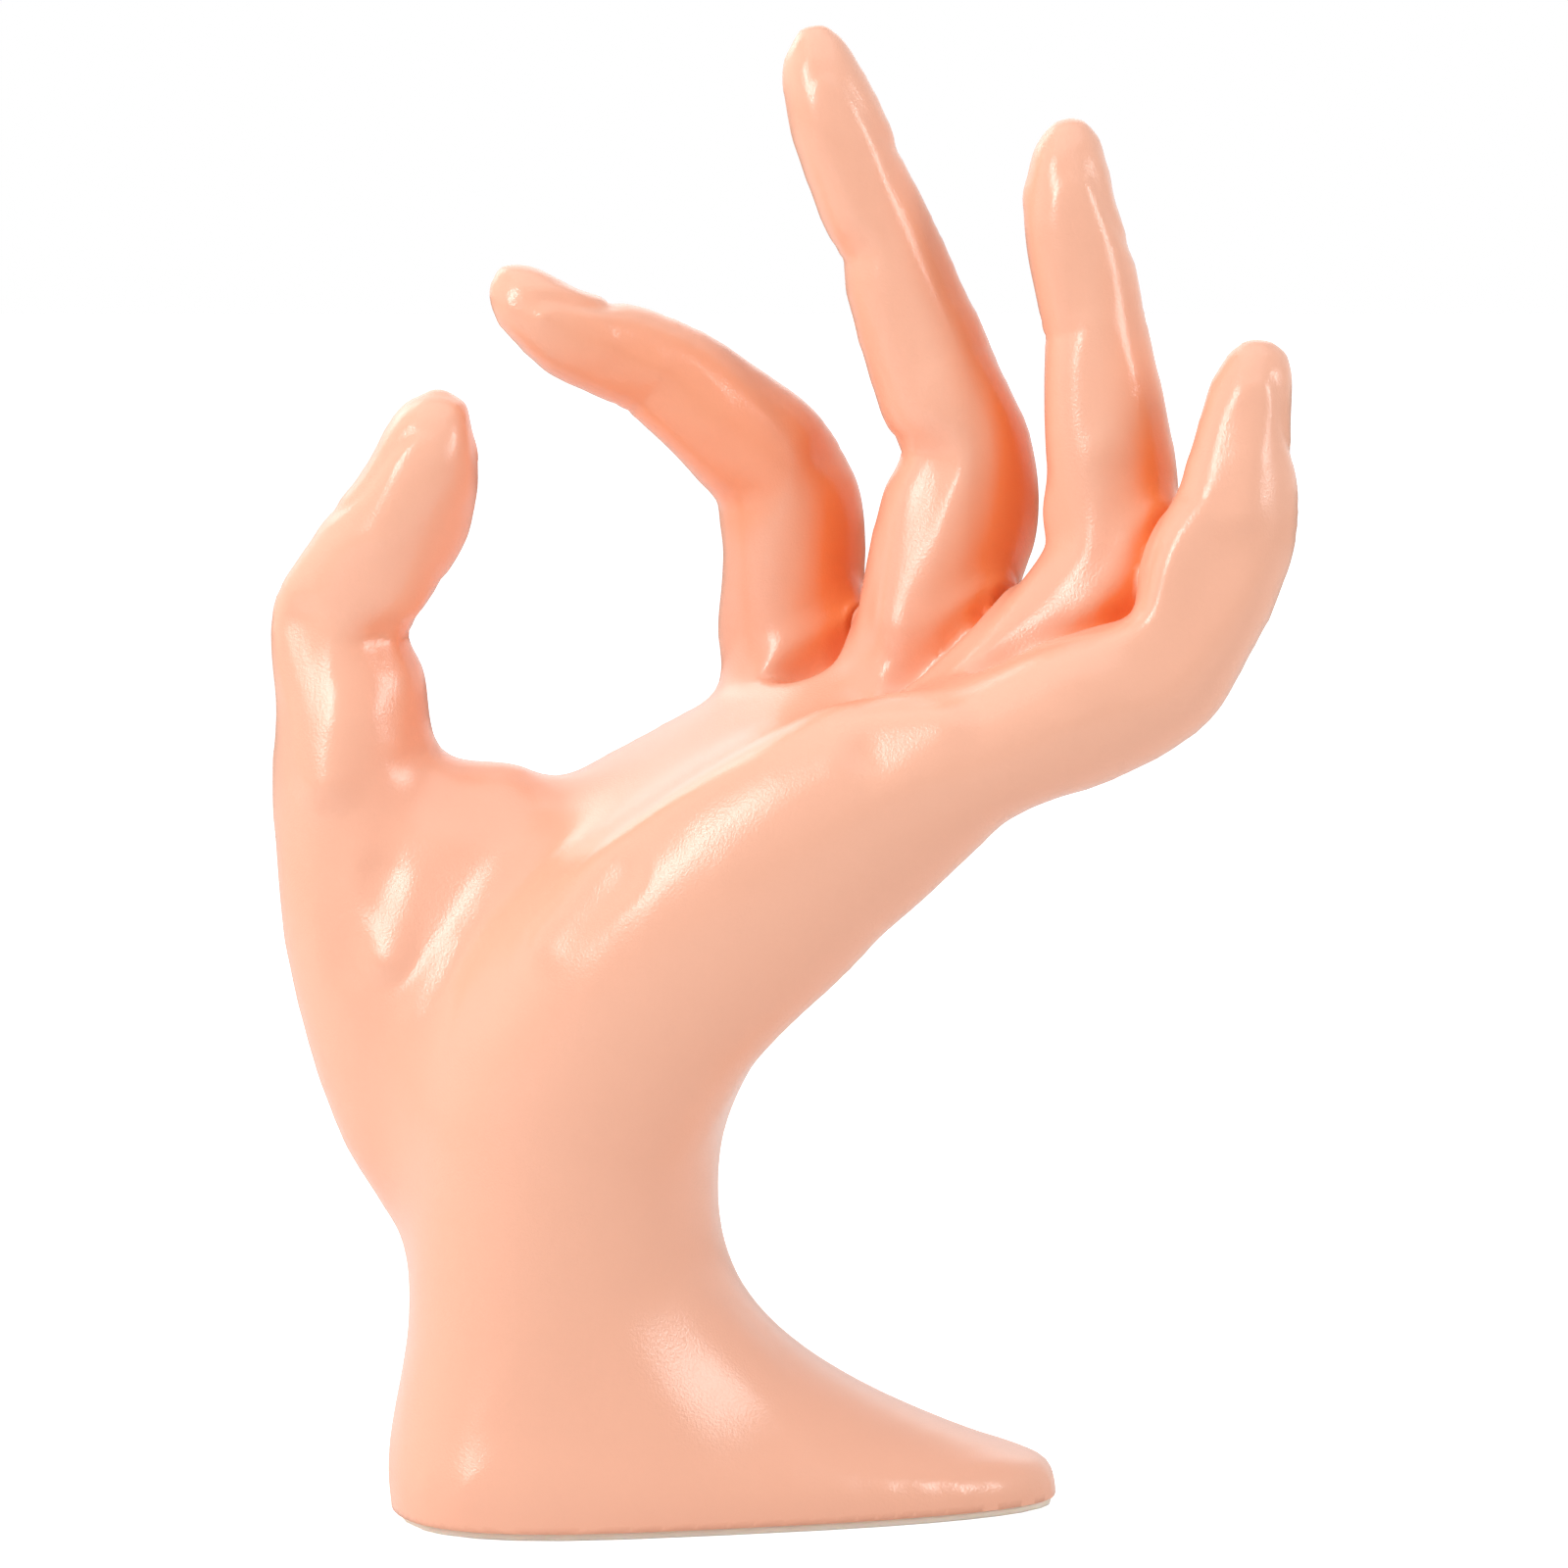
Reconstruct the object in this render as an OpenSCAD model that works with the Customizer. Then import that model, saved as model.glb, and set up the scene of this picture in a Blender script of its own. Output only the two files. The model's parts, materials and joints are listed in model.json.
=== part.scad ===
// Hand-shaped ring display stand: a hollow moulded left hand that rises from its own flared foot,
// closed underneath by a base plate that carries a ballast block.
// Origin: centre of the foot on the table. +X points from heel to toe, +Y away from the little finger's
// side, +Z up.

/* [Foot] */
// Length of the foot from heel to toe
foot_length = 73.5; // [60:0.5:90]
// Width of the foot at mid-length
foot_width = 41; // [36:0.5:52]
// How much narrower the toe is than the heel, as a share
foot_taper = 0.4; // [0:0.02:0.5]
// Height of the foot's upright sides
foot_side = 5.5; // [3:0.5:8]
// Height of the toe's end
toe_height = 4; // [3:0.5:8]
// Radius under the heel
heel_round = 3; // [1:0.5:5]

/* [Wrist] */
// Height of the narrowest part of the wrist
wrist_height = 36.5; // [28:0.5:44]
// Thickness of the wrist from palm side to back
wrist_thickness = 33.9; // [26:0.5:44]
// Width of the wrist from side to side
wrist_width = 41; // [32:0.5:50]
// Steepness of the sweep from wrist to toe
sweep_power = 2.85; // [1.8:0.05:3.2]

/* [Palm] */
// Middle of the knuckle line
knuckle_line = [17.4, 0, 82.5]; // [-100:0.1:100]
// Width of the palm across the knuckles
palm_width = 46; // [36:0.5:60]
// Thickness of the palm at the knuckles
palm_thickness = 15; // [10:0.5:22]
// Turn of the knuckle line about the vertical
palm_turn = 28; // [0:1:40]
// Thickness of the palm above the wrist
palm_root = 26; // [18:0.5:32]
// Thickness of the palm halfway to the knuckles
palm_middle = 20; // [14:0.5:26]
// Heights of the palm's lower sections above the narrowest part of the wrist
palm_rise = [8, 24, 37]; // [4:0.5:45]
// How far those sections stand forward of the wrist
palm_shift = [1, 9, 20]; // [0:0.5:30]

/* [Shell and base] */
// Wall of the hollow shell
wall = 2.4; // [1.6:0.1:3.4]
// Thickness of the base plate's flange, which shows under the foot
plate_flange = 0.9; // [0.6:0.1:2]
// Height of the base plate's step that locates it in the shell
plate_step = 1.6; // [1:0.1:3]
// How far the flange stops short of the shell's outline
plate_reveal = 0.3; // [0:0.1:1]
// Height of the ballast block
ballast_height = 8; // [4:0.5:12]
// Gap between the shell and the pieces inside it
clearance = 0.3; // [0.2:0.05:0.6]

/* [Index finger] */
// Knuckle position
index_knuckle = [9.2, 19, 83]; // [-100:0.1:200]
// Lengths of the three bones
index_bones = [30.2, 18.5, 20.4]; // [8:0.5:45]
// Direction of each bone, degrees up from the toe's direction
index_aim = [95.5, 142.3, 154]; // [0:0.5:180]
// Lean of each bone towards the little finger's side
index_lean = [5, 16, 13]; // [-40:1:40]
// Thickness at the knuckle, first bone, middle joint, second bone, end joint and pad
index_thick = [18.6, 16.6, 15.8, 13.6, 11.4, 10.7]; // [5:0.1:22]

/* [Middle finger] */
// Knuckle position
middle_knuckle = [21.2, 6, 85]; // [-100:0.1:200]
// Lengths of the three bones
middle_bones = [31.3, 23.7, 24.6]; // [8:0.5:45]
// Direction of each bone, degrees up from the toe's direction
middle_aim = [80, 112.6, 111]; // [0:0.5:180]
// Lean of each bone towards the little finger's side
middle_lean = [2, 2, 2]; // [-40:1:40]
// Thickness at the knuckle, first bone, middle joint, second bone, end joint and pad
middle_thick = [17.5, 17.4, 16.3, 13.2, 11.4, 10.4]; // [5:0.1:22]

/* [Ring finger] */
// Knuckle position
ring_knuckle = [27, -7, 86.5]; // [-100:0.1:200]
// Lengths of the three bones
ring_bones = [23.4, 25.3, 22.5]; // [8:0.5:45]
// Direction of each bone, degrees up from the toe's direction
ring_aim = [46, 97.2, 99.5]; // [0:0.5:180]
// Lean of each bone towards the little finger's side
ring_lean = [-2, -2, -2]; // [-40:1:40]
// Thickness at the knuckle, first bone, middle joint, second bone, end joint and pad
ring_thick = [13.8, 13.4, 15, 13.2, 11.4, 10]; // [5:0.1:22]

/* [Little finger] */
// Knuckle position
little_knuckle = [27.5, -19.5, 83.5]; // [-100:0.1:200]
// Lengths of the three bones
little_bones = [24, 17, 17.8]; // [8:0.5:45]
// Direction of each bone, degrees up from the toe's direction
little_aim = [25.5, 72.7, 80.2]; // [0:0.5:180]
// Lean of each bone towards the little finger's side
little_lean = [-2, -2, -2]; // [-40:1:40]
// Thickness at the knuckle, first bone, middle joint, second bone, end joint and pad
little_thick = [16, 16.3, 13.2, 14.8, 12.8, 9.2]; // [5:0.1:22]

/* [Heel of the hand] */
// Thickness of the heel of the hand below the little finger
heel_of_hand = 29.5; // [20:0.5:40]
// Lower end, inside the wrist
heel_low = [-18, -2, 22]; // [-100:0.1:200]
// Place at the wrist
heel_wrist = [-17, -5, 34]; // [-100:0.1:200]
// Place where it starts to swell
heel_swell = [-15.8, -8, 43.5]; // [-100:0.1:200]
// Place of its full thickness
heel_full = [-8.8, -12, 58]; // [-100:0.1:200]
// Place where it turns towards the little finger
heel_turn = [4, -16, 70]; // [-100:0.1:200]
// Place just short of the little finger's knuckle
heel_top = [17, -18, 79.5]; // [-100:0.1:200]
// Widths at those six places
heel_widths = [18, 25, 26, 25, 22, 19]; // [10:0.5:40]

/* [Thumb] */
// Knuckle position
thumb_knuckle = [-40.9, 10, 77]; // [-100:0.1:200]
// Lengths of the two bones above the knuckle
thumb_bones = [19.5, 28]; // [8:0.5:45]
// Direction of each bone, degrees up from the toe's direction
thumb_aim = [89.6, 64.5]; // [0:0.5:180]
// Lean of each bone towards the little finger's side
thumb_lean = [6, 8]; // [-40:1:40]
// Thickness at knuckle, joint and pad
thumb_thick = [18.4, 16.2, 13.2]; // [5:0.1:22]

/* [Ball of the thumb and web] */
// Thickness of the ball of the thumb
ball_of_thumb = 24; // [16:0.5:32]
// Lower end of the ball, inside the wrist
ball_low = [-24, 4, 28]; // [-100:0.1:200]
// Place where the ball leaves the wrist
ball_wrist = [-31.3, 6.5, 42.5]; // [-100:0.1:200]
// Place of the ball's full thickness
ball_full = [-35, 8.5, 55.5]; // [-100:0.1:200]
// Place where the ball narrows towards the thumb's knuckle
ball_top = [-37.6, 9.5, 67.5]; // [-100:0.1:200]
// Widths at those four places
ball_widths = [20, 24, 25, 23]; // [10:0.5:40]
// Web between thumb and index finger: its end in the thumb
web_thumb = [-38, 9, 64]; // [-100:0.1:200]
// Place near the thumb
web_near = [-26, 7.5, 62.8]; // [-100:0.1:200]
// Middle of the web
web_middle = [-15, 8, 62.9]; // [-100:0.1:200]
// Place near the index finger
web_far = [-5, 12.5, 70.2]; // [-100:0.1:200]
// Its end in the index finger
web_index = [4, 17.5, 80.5]; // [-100:0.1:200]
// Thicknesses of the web at those five places
web_widths = [16, 21, 22, 19, 13]; // [6:0.5:28]
// Heights of the web at those five places
web_heights = [34, 37, 32.8, 28.4, 18.5]; // [10:0.5:45]

/* [Hidden] */
skin = [0.97, 0.74, 0.60];

// Facets: sides of a finger, of the thumb and of the body, steps between two stations and in a tip
finger_sides = 18;
thumb_sides = 22;
body_sides = 36;
span_steps = 2;
dome_steps = 5;

// Fingers are a little wider than they are thick
finger_breadth = 1.06;
pad_breadth = 1.14;
thumb_breadth = 1.2;
// Share of the end bone that lies beyond the pad's fullest point
tip_share = 0.5;

// Ray of a finger in the palm: how far below the wrist it starts, and how far it bows back and up
ray_drop = 4;
ray_bow = 1.5;
ray_lift = 2;

// Height between two levels of the foot
level_step = 1.6;
// Height over which the hollow widens above the base plate, and what its wall gains in the palm
hollow_blend = 3;
palm_extra = 0.6;

// How far the wrist's palm side stands in from the heel
heel_lead = 2.4;
wrist_x = -foot_length / 2 + heel_lead + wrist_thickness / 2;

function unit(v) = v / norm(v);
function soft(v, power) = sign(v) * pow(abs(v), power);
function mix(a, b, t) = a + (b - a) * t;
function ease(t) = t * t * (3 - 2 * t);
function aim_vector(aim, lean) = [cos(lean) * cos(aim), -sin(lean), cos(lean) * sin(aim)];

// Catmull-Rom spline through a list of stations, sampled span_steps times between neighbours
function spline_at(p, i, t) =
  let (n = len(p), a = p[max(i - 1, 0)], b = p[i], c = p[min(i + 1, n - 1)], d = p[min(i + 2, n - 1)])
  ((2 * b) + (c - a) * t + (2 * a - 5 * b + 4 * c - d) * t * t + (3 * b - a - 3 * c + d) * t * t * t) / 2;
function spline(p, steps = span_steps) =
  [for (i = [0 : len(p) - 2]) for (s = [0 : steps - 1]) spline_at(p, i, s / steps), p[len(p) - 1]];

function place(s) = [s[0], s[1], s[2]];

// One ring of points: centre, unit vectors to the side and to the palm, width, thickness, taper
// towards the back, and squareness (1 is an ellipse, less is squarer)
function ring(c, side, palm, w, t, sides, taper = 0, square = 1) =
  [for (k = [0 : sides - 1])
    let (a = 360 * k / sides, u = soft(cos(a), square), v = soft(sin(a), square))
    c + side * (w / 2 * u * (1 + taper * v)) + palm * (t / 2 * v)];

// Rings along stations [x, y, z, width, thickness], turned to follow the path
function path_rings(stations, sides, ref = [0, 1, 0]) =
  let (s = spline(stations), n = len(s))
  [for (i = [0 : n - 1])
    let (along = unit(place(s[min(i + 1, n - 1)]) - place(s[max(i - 1, 0)])),
         side = unit(ref - along * (ref * along)),
         palm = cross(along, side))
    ring(place(s[i]), side, palm, s[i][3], s[i][4], sides)];

// Rounded end: shrinking rings beyond the last ring, along the path
function dome_rings(stations, tip, sides, ref = [0, 1, 0]) =
  let (n = len(stations), last = stations[n - 1],
       along = unit(tip - place(last)), reach = norm(tip - place(last)),
       side = unit(ref - along * (ref * along)), palm = cross(along, side))
  [for (k = [1 : dome_steps]) let (a = 90 * k / (dome_steps + 0.4))
    ring(place(last) + along * reach * sin(a), side, palm, last[3] * cos(a), last[4] * cos(a), sides)];

// Skin over a stack of rings, closed at both ends
module skin_over(rings) {
  m = len(rings);
  n = len(rings[0]);
  points = [for (r = rings) for (p = r) p];
  walls = [for (i = [0 : m - 2]) for (j = [0 : n - 1])
    let (k = (j + 1) % n, a = i * n + j, b = i * n + k, c = a + n, d = b + n)
    each [[a, c, d], [a, d, b]]];
  ends = [[for (j = [0 : n - 1]) j], [for (j = [n - 1 : -1 : 0]) (m - 1) * n + j]];
  polyhedron(points, concat(walls, ends), convexity = 10);
}

// Body: foot, wrist and palm

function share_above(z, from) = max(0, min(1, (z - from) / (wrist_height - from)));
function foot_share(z) = share_above(z, foot_side);
function toe_x(z) =
  mix(wrist_x + wrist_thickness / 2, foot_length / 2, pow(1 - share_above(z, toe_height), sweep_power));
function heel_x(z) =
  mix(-foot_length / 2, wrist_x - wrist_thickness / 2, ease(min(1, 1.8 * share_above(z, toe_height))));
function foot_y(z) = mix(foot_width, wrist_width, foot_share(z));
function foot_egg(z) = foot_taper * pow(1 - foot_share(z), 1.5);
function foot_square(z) = mix(0.68, 1, pow(foot_share(z), 0.7));
// Tuck under the heel near the table
function tuck(z) =
  z < heel_round ? heel_round - sqrt(heel_round * heel_round - pow(heel_round - z, 2)) : 0;

function foot_ring(z, inset, sides, at) =
  let (left = heel_x(z) + tuck(z) + inset, right = toe_x(z) - 0.25 * tuck(z) - inset)
  ring([(left + right) / 2, 0, at], [0, 1, 0], [-1, 0, 0],
       foot_y(z) - 1.2 * tuck(z) - 2 * inset, right - left, sides, foot_egg(z), foot_square(z));

foot_levels = concat([for (k = [0 : 4]) mix(plate_flange, foot_side, k / 5)],
                     [for (z = [foot_side : level_step : wrist_height - level_step / 2]) z]);

// One section across the palm: how far forward, how high, width, thickness and turn
function palm_section(x, z, w, t, turn, inset) = [x, 0, z, w - 2 * inset, t - 2 * inset, turn];
function palm_stations(inset) =
  [palm_section(wrist_x, wrist_height, wrist_width, wrist_thickness, 0, inset),
   palm_section(wrist_x + palm_shift[0], wrist_height + palm_rise[0], wrist_width, wrist_thickness,
                0, inset),
   palm_section(wrist_x + palm_shift[1], wrist_height + palm_rise[1], palm_width, palm_root,
                palm_turn * 0.15, inset),
   palm_section(wrist_x + palm_shift[2], wrist_height + palm_rise[2], palm_width, palm_middle,
                palm_turn * 0.5, inset),
   palm_section(knuckle_line[0], knuckle_line[2], palm_width, palm_thickness, palm_turn, inset)];

function palm_rings(inset, sides, count) =
  let (s = spline(palm_stations(inset), 4), n = len(s))
  [for (i = [1 : n - count])
    let (along = unit(place(s[min(i + 1, n - 1)]) - place(s[i - 1])),
         ref = [-sin(s[i][5]), cos(s[i][5]), 0],
         side = unit(ref - along * (ref * along)),
         palm = cross(along, side))
    ring(place(s[i]), side, palm, s[i][3], s[i][4], sides)];

module body() {
  skin_over(concat([for (z = foot_levels) foot_ring(z, 0, body_sides, z)],
                   [foot_ring(wrist_height, 0, body_sides, wrist_height)],
                   palm_rings(0, body_sides, 1)));
}

// Fingers

function joints(knuckle, bones, aim, lean, i = 0) =
  i == len(bones) ? [knuckle]
  : concat([knuckle], joints(knuckle + bones[i] * aim_vector(aim[i], lean[i]), bones, aim, lean, i + 1));

function station(p, t, breadth = finger_breadth) = [p[0], p[1], p[2], t * breadth, t];
// Stations at a list of places, each with its own width and thickness
function stations(path, widths, thicks) =
  [for (i = [0 : len(path) - 1]) concat(path[i], widths[i], thicks[i])];

function finger_stations(j, thick, root) =
  let (pad = mix(j[3], j[2], tip_share))
  concat(root,
    [station(j[0], thick[0]),
     station(mix(j[0], j[1], 0.5), thick[1]),
     station(mix(j[0], j[1], 0.9), thick[2]),
     station(mix(j[1], j[2], 0.16), mix(thick[2], thick[3], 0.2)),
     station(mix(j[1], j[2], 0.55), thick[3]),
     station(j[2], thick[4]),
     station(pad, thick[5], pad_breadth)]);

module finger(knuckle, bones, aim, lean, thick, root) {
  j = joints(knuckle, bones, aim, lean);
  s = finger_stations(j, thick, root);
  skin_over(concat(path_rings(s, finger_sides), dome_rings(s, j[3], finger_sides)));
}

// Ray of a finger through the palm, from the wrist to its knuckle
function palm_ray(knuckle, t) =
  let (start = [wrist_x, knuckle[1] * 0.5, wrist_height - ray_drop])
  [[start[0], start[1], start[2], t * 0.8, t * 1.1],
   station(mix(start, knuckle, 0.5) + [-ray_bow, knuckle[1] * 0.07, ray_lift], t * 1.12),
   station(mix(start, knuckle, 0.8) + [-ray_bow / 3, 0, ray_lift / 2], t * 1.04)];

module index_finger() {
  finger(index_knuckle, index_bones, index_aim, index_lean, index_thick,
         palm_ray(index_knuckle, index_thick[0]));
}

module middle_finger() {
  finger(middle_knuckle, middle_bones, middle_aim, middle_lean, middle_thick,
         palm_ray(middle_knuckle, middle_thick[0]));
}

module ring_finger() {
  finger(ring_knuckle, ring_bones, ring_aim, ring_lean, ring_thick,
         palm_ray(ring_knuckle, ring_thick[0]));
}

// The little finger's ray also makes the heel of the hand
heel_path = [heel_low, heel_wrist, heel_swell, heel_full, heel_turn, heel_top];
heel_shares = [0.6, 0.96, 1, 1, 0.95, 0.75];

module little_finger() {
  finger(little_knuckle, little_bones, little_aim, little_lean, little_thick,
         stations(heel_path, heel_widths, heel_of_hand * heel_shares));
}

ball_path = [ball_low, ball_wrist, ball_full, ball_top];
ball_shares = [0.75, 0.95, 1.02, 1];

module thumb() {
  j = joints(thumb_knuckle, thumb_bones, thumb_aim, thumb_lean);
  pad = mix(j[2], j[1], 0.42);
  s = concat(stations(ball_path, ball_widths, ball_of_thumb * ball_shares),
    [station(j[0], thumb_thick[0]),
     station(mix(j[0], j[1], 0.5), mix(thumb_thick[0], thumb_thick[1], 0.6)),
     station(j[1], thumb_thick[1]),
     station(pad, thumb_thick[2], thumb_breadth)]);
  skin_over(concat(path_rings(s, thumb_sides), dome_rings(s, j[2], thumb_sides)));
}

// Fold of skin between thumb and index finger
web_path = [web_thumb, web_near, web_middle, web_far, web_index];

module thumb_web() {
  skin_over(path_rings(stations(web_path, web_widths, web_heights), finger_sides));
}

module hand_solid() {
  union() {
    body();
    little_finger();
    ring_finger();
    middle_finger();
    index_finger();
    thumb();
    thumb_web();
  }
}

// Hollow of the foot, wrist and palm, open at the bottom
cavity_top = wrist_height - wall - level_step / 2;
opening_inset = heel_round * 0.4 + wall;

function hollow_ring(z, gap, sides) =
  let (low = foot_ring(plate_flange, opening_inset + gap, sides, z),
       high = foot_ring(max(z, heel_round) + wall, wall + gap, sides, z),
       t = min(1, max(0, (z - plate_flange - plate_step) / hollow_blend)))
  [for (k = [0 : sides - 1]) mix(low[k], high[k], t)];

module hollow(gap, from, to) {
  levels = concat([from], [for (z = [from + level_step / 2 : level_step : to - level_step / 4]) z], [to]);
  skin_over([for (z = levels) hollow_ring(z, gap, body_sides)]);
}

module hand_shell() {
  color(skin)
    difference() {
      hand_solid();
      skin_over(concat([foot_ring(plate_flange, opening_inset, body_sides, -1)],
                       [for (z = [plate_flange : level_step : cavity_top]) hollow_ring(z, 0, body_sides)],
                       palm_rings(wall + palm_extra, body_sides, 6)));
    }
}

module plate_outline(inset) {
  polygon([for (p = foot_ring(plate_flange, inset, body_sides, 0)) [p[0], p[1]]]);
}

module base_plate() {
  color([0.98, 0.90, 0.84])
    union() {
      linear_extrude(plate_flange) plate_outline(plate_reveal);
      linear_extrude(plate_flange + plate_step) plate_outline(opening_inset + clearance);
    }
}

module ballast_block() {
  color([0.86, 0.85, 0.82])
    hollow(clearance, plate_flange + plate_step, plate_flange + plate_step + ballast_height);
}

hand_shell();
base_plate();
ballast_block();
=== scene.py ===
"""Looks of a hand-shaped ring display stand.

A moulded left hand with its flared foot, the pale base sheet under it and the cast ballast inside.
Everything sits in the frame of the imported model: metres, +X from heel to toe, +Z up.
"""

import json
import math
from contextlib import contextmanager

import bmesh
import bpy
import numpy as np
from bpy.props import FloatProperty, FloatVectorProperty, IntProperty, PointerProperty
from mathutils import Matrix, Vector
from mathutils.bvhtree import BVHTree
from mathutils.kdtree import KDTree

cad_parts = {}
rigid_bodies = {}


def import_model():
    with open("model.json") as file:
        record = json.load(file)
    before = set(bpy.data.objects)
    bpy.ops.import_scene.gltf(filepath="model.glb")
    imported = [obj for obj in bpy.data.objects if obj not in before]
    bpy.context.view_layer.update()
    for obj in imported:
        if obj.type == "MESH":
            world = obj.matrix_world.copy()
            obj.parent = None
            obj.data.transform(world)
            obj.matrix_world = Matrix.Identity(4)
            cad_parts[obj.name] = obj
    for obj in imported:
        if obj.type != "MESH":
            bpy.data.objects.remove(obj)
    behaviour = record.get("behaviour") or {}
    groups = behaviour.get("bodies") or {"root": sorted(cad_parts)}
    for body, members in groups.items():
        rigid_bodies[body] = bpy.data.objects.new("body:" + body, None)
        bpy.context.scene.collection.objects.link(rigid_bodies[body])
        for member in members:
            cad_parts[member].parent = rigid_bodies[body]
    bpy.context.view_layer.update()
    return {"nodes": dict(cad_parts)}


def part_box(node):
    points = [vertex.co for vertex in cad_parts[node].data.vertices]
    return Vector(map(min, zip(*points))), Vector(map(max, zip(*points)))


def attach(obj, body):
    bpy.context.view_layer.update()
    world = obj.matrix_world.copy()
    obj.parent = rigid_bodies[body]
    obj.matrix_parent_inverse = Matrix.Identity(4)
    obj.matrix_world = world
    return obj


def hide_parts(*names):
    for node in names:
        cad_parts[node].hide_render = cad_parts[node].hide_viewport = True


bl_info = {
    "name": "Hand Ring Stand",
    "version": (1, 0, 0),
    "blender": (4, 5, 0),
    "location": "View3D > Sidebar > Hand Stand",
    "description": "Builds a moulded hand that displays rings, with its base sheet, ballast and studio",
    "category": "Add Mesh",
}

MM = 0.001
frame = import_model()
RIM_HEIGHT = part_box("hand_shell")[0][2]

# Point that the photograph's view is centred on
VIEW_MIDDLE = Vector((6.73, 0.0, 78.95)) * MM


# Soft steps and directions


def unit(way):
    """A direction with length 1."""
    way = np.array(way, float)
    return way / np.linalg.norm(way)


def rise(x, low, high):
    """0 below low, 1 above high and a soft step between them."""
    t = np.clip((x - low) / (high - low), 0.0, 1.0)
    return t * t * (3.0 - 2.0 * t)


def fade(x, close, far):
    """1 up to close, 0 from far on and a soft step between them."""
    return rise(-x, -far, -close)


def bump(x, width):
    """1 at zero, fading out over about twice the width."""
    return np.exp(-((x / width) ** 2))


def turned_to(normals, way, low, high):
    """0 where a surface turns away from a direction, 1 where it faces it, with a step between two cosines."""
    return rise(normals @ unit(way), low, high)


# Across the hand, and the directions that parts of it face
SIDEWAYS = np.array([0.0, 1.0, 0.0])
PALM_WAY = (-0.5, -0.5, 0.7)
HOLLOW_WAY = (-0.4, -0.7, 0.5)
# Sides turned these two ways get painted shade: away from the thumb between the fingers, and under the index
AWAY_FROM_THUMB = (0.8, -0.4, 0.1)
UNDER_INDEX = (0.2, -0.7, -0.6)


# Shape of the hand, in millimetres and degrees


class Finger:
    """One finger.

    Its joints follow from the knuckle, the length of each bone, its aim up from +X and its lean to the front.
    Root and tip are thicknesses, notches the depths at the joints, and nail a share of the nail height.
    """

    def __init__(self, knuckle, bones, aim, lean, root, tip, notches, nail, palm_turn=1.0):
        self.joints = [np.array(knuckle, float)]
        for length, up, over in zip(bones, np.radians(aim), np.radians(lean)):
            level = math.cos(over)
            step = (level * math.cos(up), -math.sin(over), level * math.sin(up))
            self.joints.append(self.joints[-1] + length * np.array(step))
        self.last = len(bones) - 1
        self.root = root
        self.tip = tip
        self.notches = notches
        self.nail = nail
        self.palm_turn = palm_turn

    def length(self, number):
        """Length of one bone."""
        return np.linalg.norm(self.joints[number + 1] - self.joints[number])

    def direction(self, number):
        """Direction of one bone, towards the tip."""
        return unit(self.joints[number + 1] - self.joints[number])

    def across(self, along):
        """Directions to the side and to the palm side of a bone."""
        side = unit(SIDEWAYS - along * (SIDEWAYS @ along)) * self.palm_turn
        return side, np.cross(along, side)

    def measure(self, points, number):
        """Places of points along a bone, towards its side and towards its palm side."""
        along = self.direction(number)
        side, palm = self.across(along)
        away = points - self.joints[number]
        return away @ along, away @ side, away @ palm

    def wrap(self, side, palm, inside=0.8, outside=1.1):
        """Share of points that lie on the finger, and how far they face its palm side, from -1 to 1."""
        radius = np.hypot(side, palm)
        facing = np.clip(palm / np.maximum(radius, 1e-6), -1, 1)
        return fade(radius, inside * self.root, outside * self.root), facing


FINGERS = {
    "index": Finger(
        knuckle=(9.2, 19, 83),
        bones=(30.2, 18.5, 20.4),
        aim=(95.5, 142.3, 154),
        lean=(5, 16, 13),
        root=18.6,
        tip=10.7,
        notches=(0.3, 0.3),
        nail=1.3,
    ),
    "middle": Finger(
        knuckle=(21.2, 6, 85),
        bones=(31.3, 23.7, 24.6),
        aim=(80, 112.6, 111),
        lean=(2, 2, 2),
        root=17.5,
        tip=10.4,
        notches=(1.3, 0.7),
        nail=0.6,
    ),
    "third": Finger(
        knuckle=(27, -7, 86.5),
        bones=(23.4, 25.3, 22.5),
        aim=(46, 97.2, 99.5),
        lean=(-2, -2, -2),
        root=13.8,
        tip=10,
        notches=(0, 0.25),
        nail=0.6,
    ),
    "little": Finger(
        knuckle=(27.5, -19.5, 83.5),
        bones=(24, 17, 17.8),
        aim=(25.5, 72.7, 80.2),
        lean=(-2, -2, -2),
        root=16,
        tip=9.2,
        notches=(0, 0.1),
        nail=0.7,
    ),
    "thumb": Finger(
        knuckle=(-40.9, 10, 77),
        bones=(19.5, 28),
        aim=(89.6, 64.5),
        lean=(6, 8),
        root=18.4,
        tip=13.2,
        notches=(1.7,),
        nail=0.7,
        palm_turn=-1.0,
    ),
}
# Where a finger leaves the palm along its first bone, where a later bone starts, and room past its end
ROOT_STRETCH = (2, 14)
BONE_STRETCH = (-2, 2)
END_ROOM = 8

# Fold between the ball of the thumb and the heel of the hand, seen from the front, and its carving
PALM_FOLD = np.array(
    [(-31.7, 41.5), (-28, 57.6), (-24.5, 64), (-16.8, 71.5), (-9.3, 76.8), (0.3, 82.7), (11, 88.6)]
)
FOLD_DEPTH = 0.5
FOLD_OFFSET = 1.4
FOLD_WIDTH = 1.4
RIDGE_WIDTH = 1.6
RIDGE_SHARE = 0.35

# Carving of the fingers: the nail's edge and groove, the notches, folds and wrinkles of a joint, and the pads
NAIL_EDGE = (-0.6, 0.1)
GROOVE_OFFSET = 0.4
GROOVE_WIDTH = 0.5
GROOVE_SHARE = 1.1
NOTCH_WIDTH = 2.6
JOINT_FOLD_WIDTH = 0.45
FINE_FOLD_WIDTH = 0.4
SECOND_FOLD_OFFSET = 1.6
SECOND_FOLD_SHARE = 0.6
WRINKLE_SPACING = 1.5
WRINKLE_SHARE = 0.45
PAD_SWELL = 0.25

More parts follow.
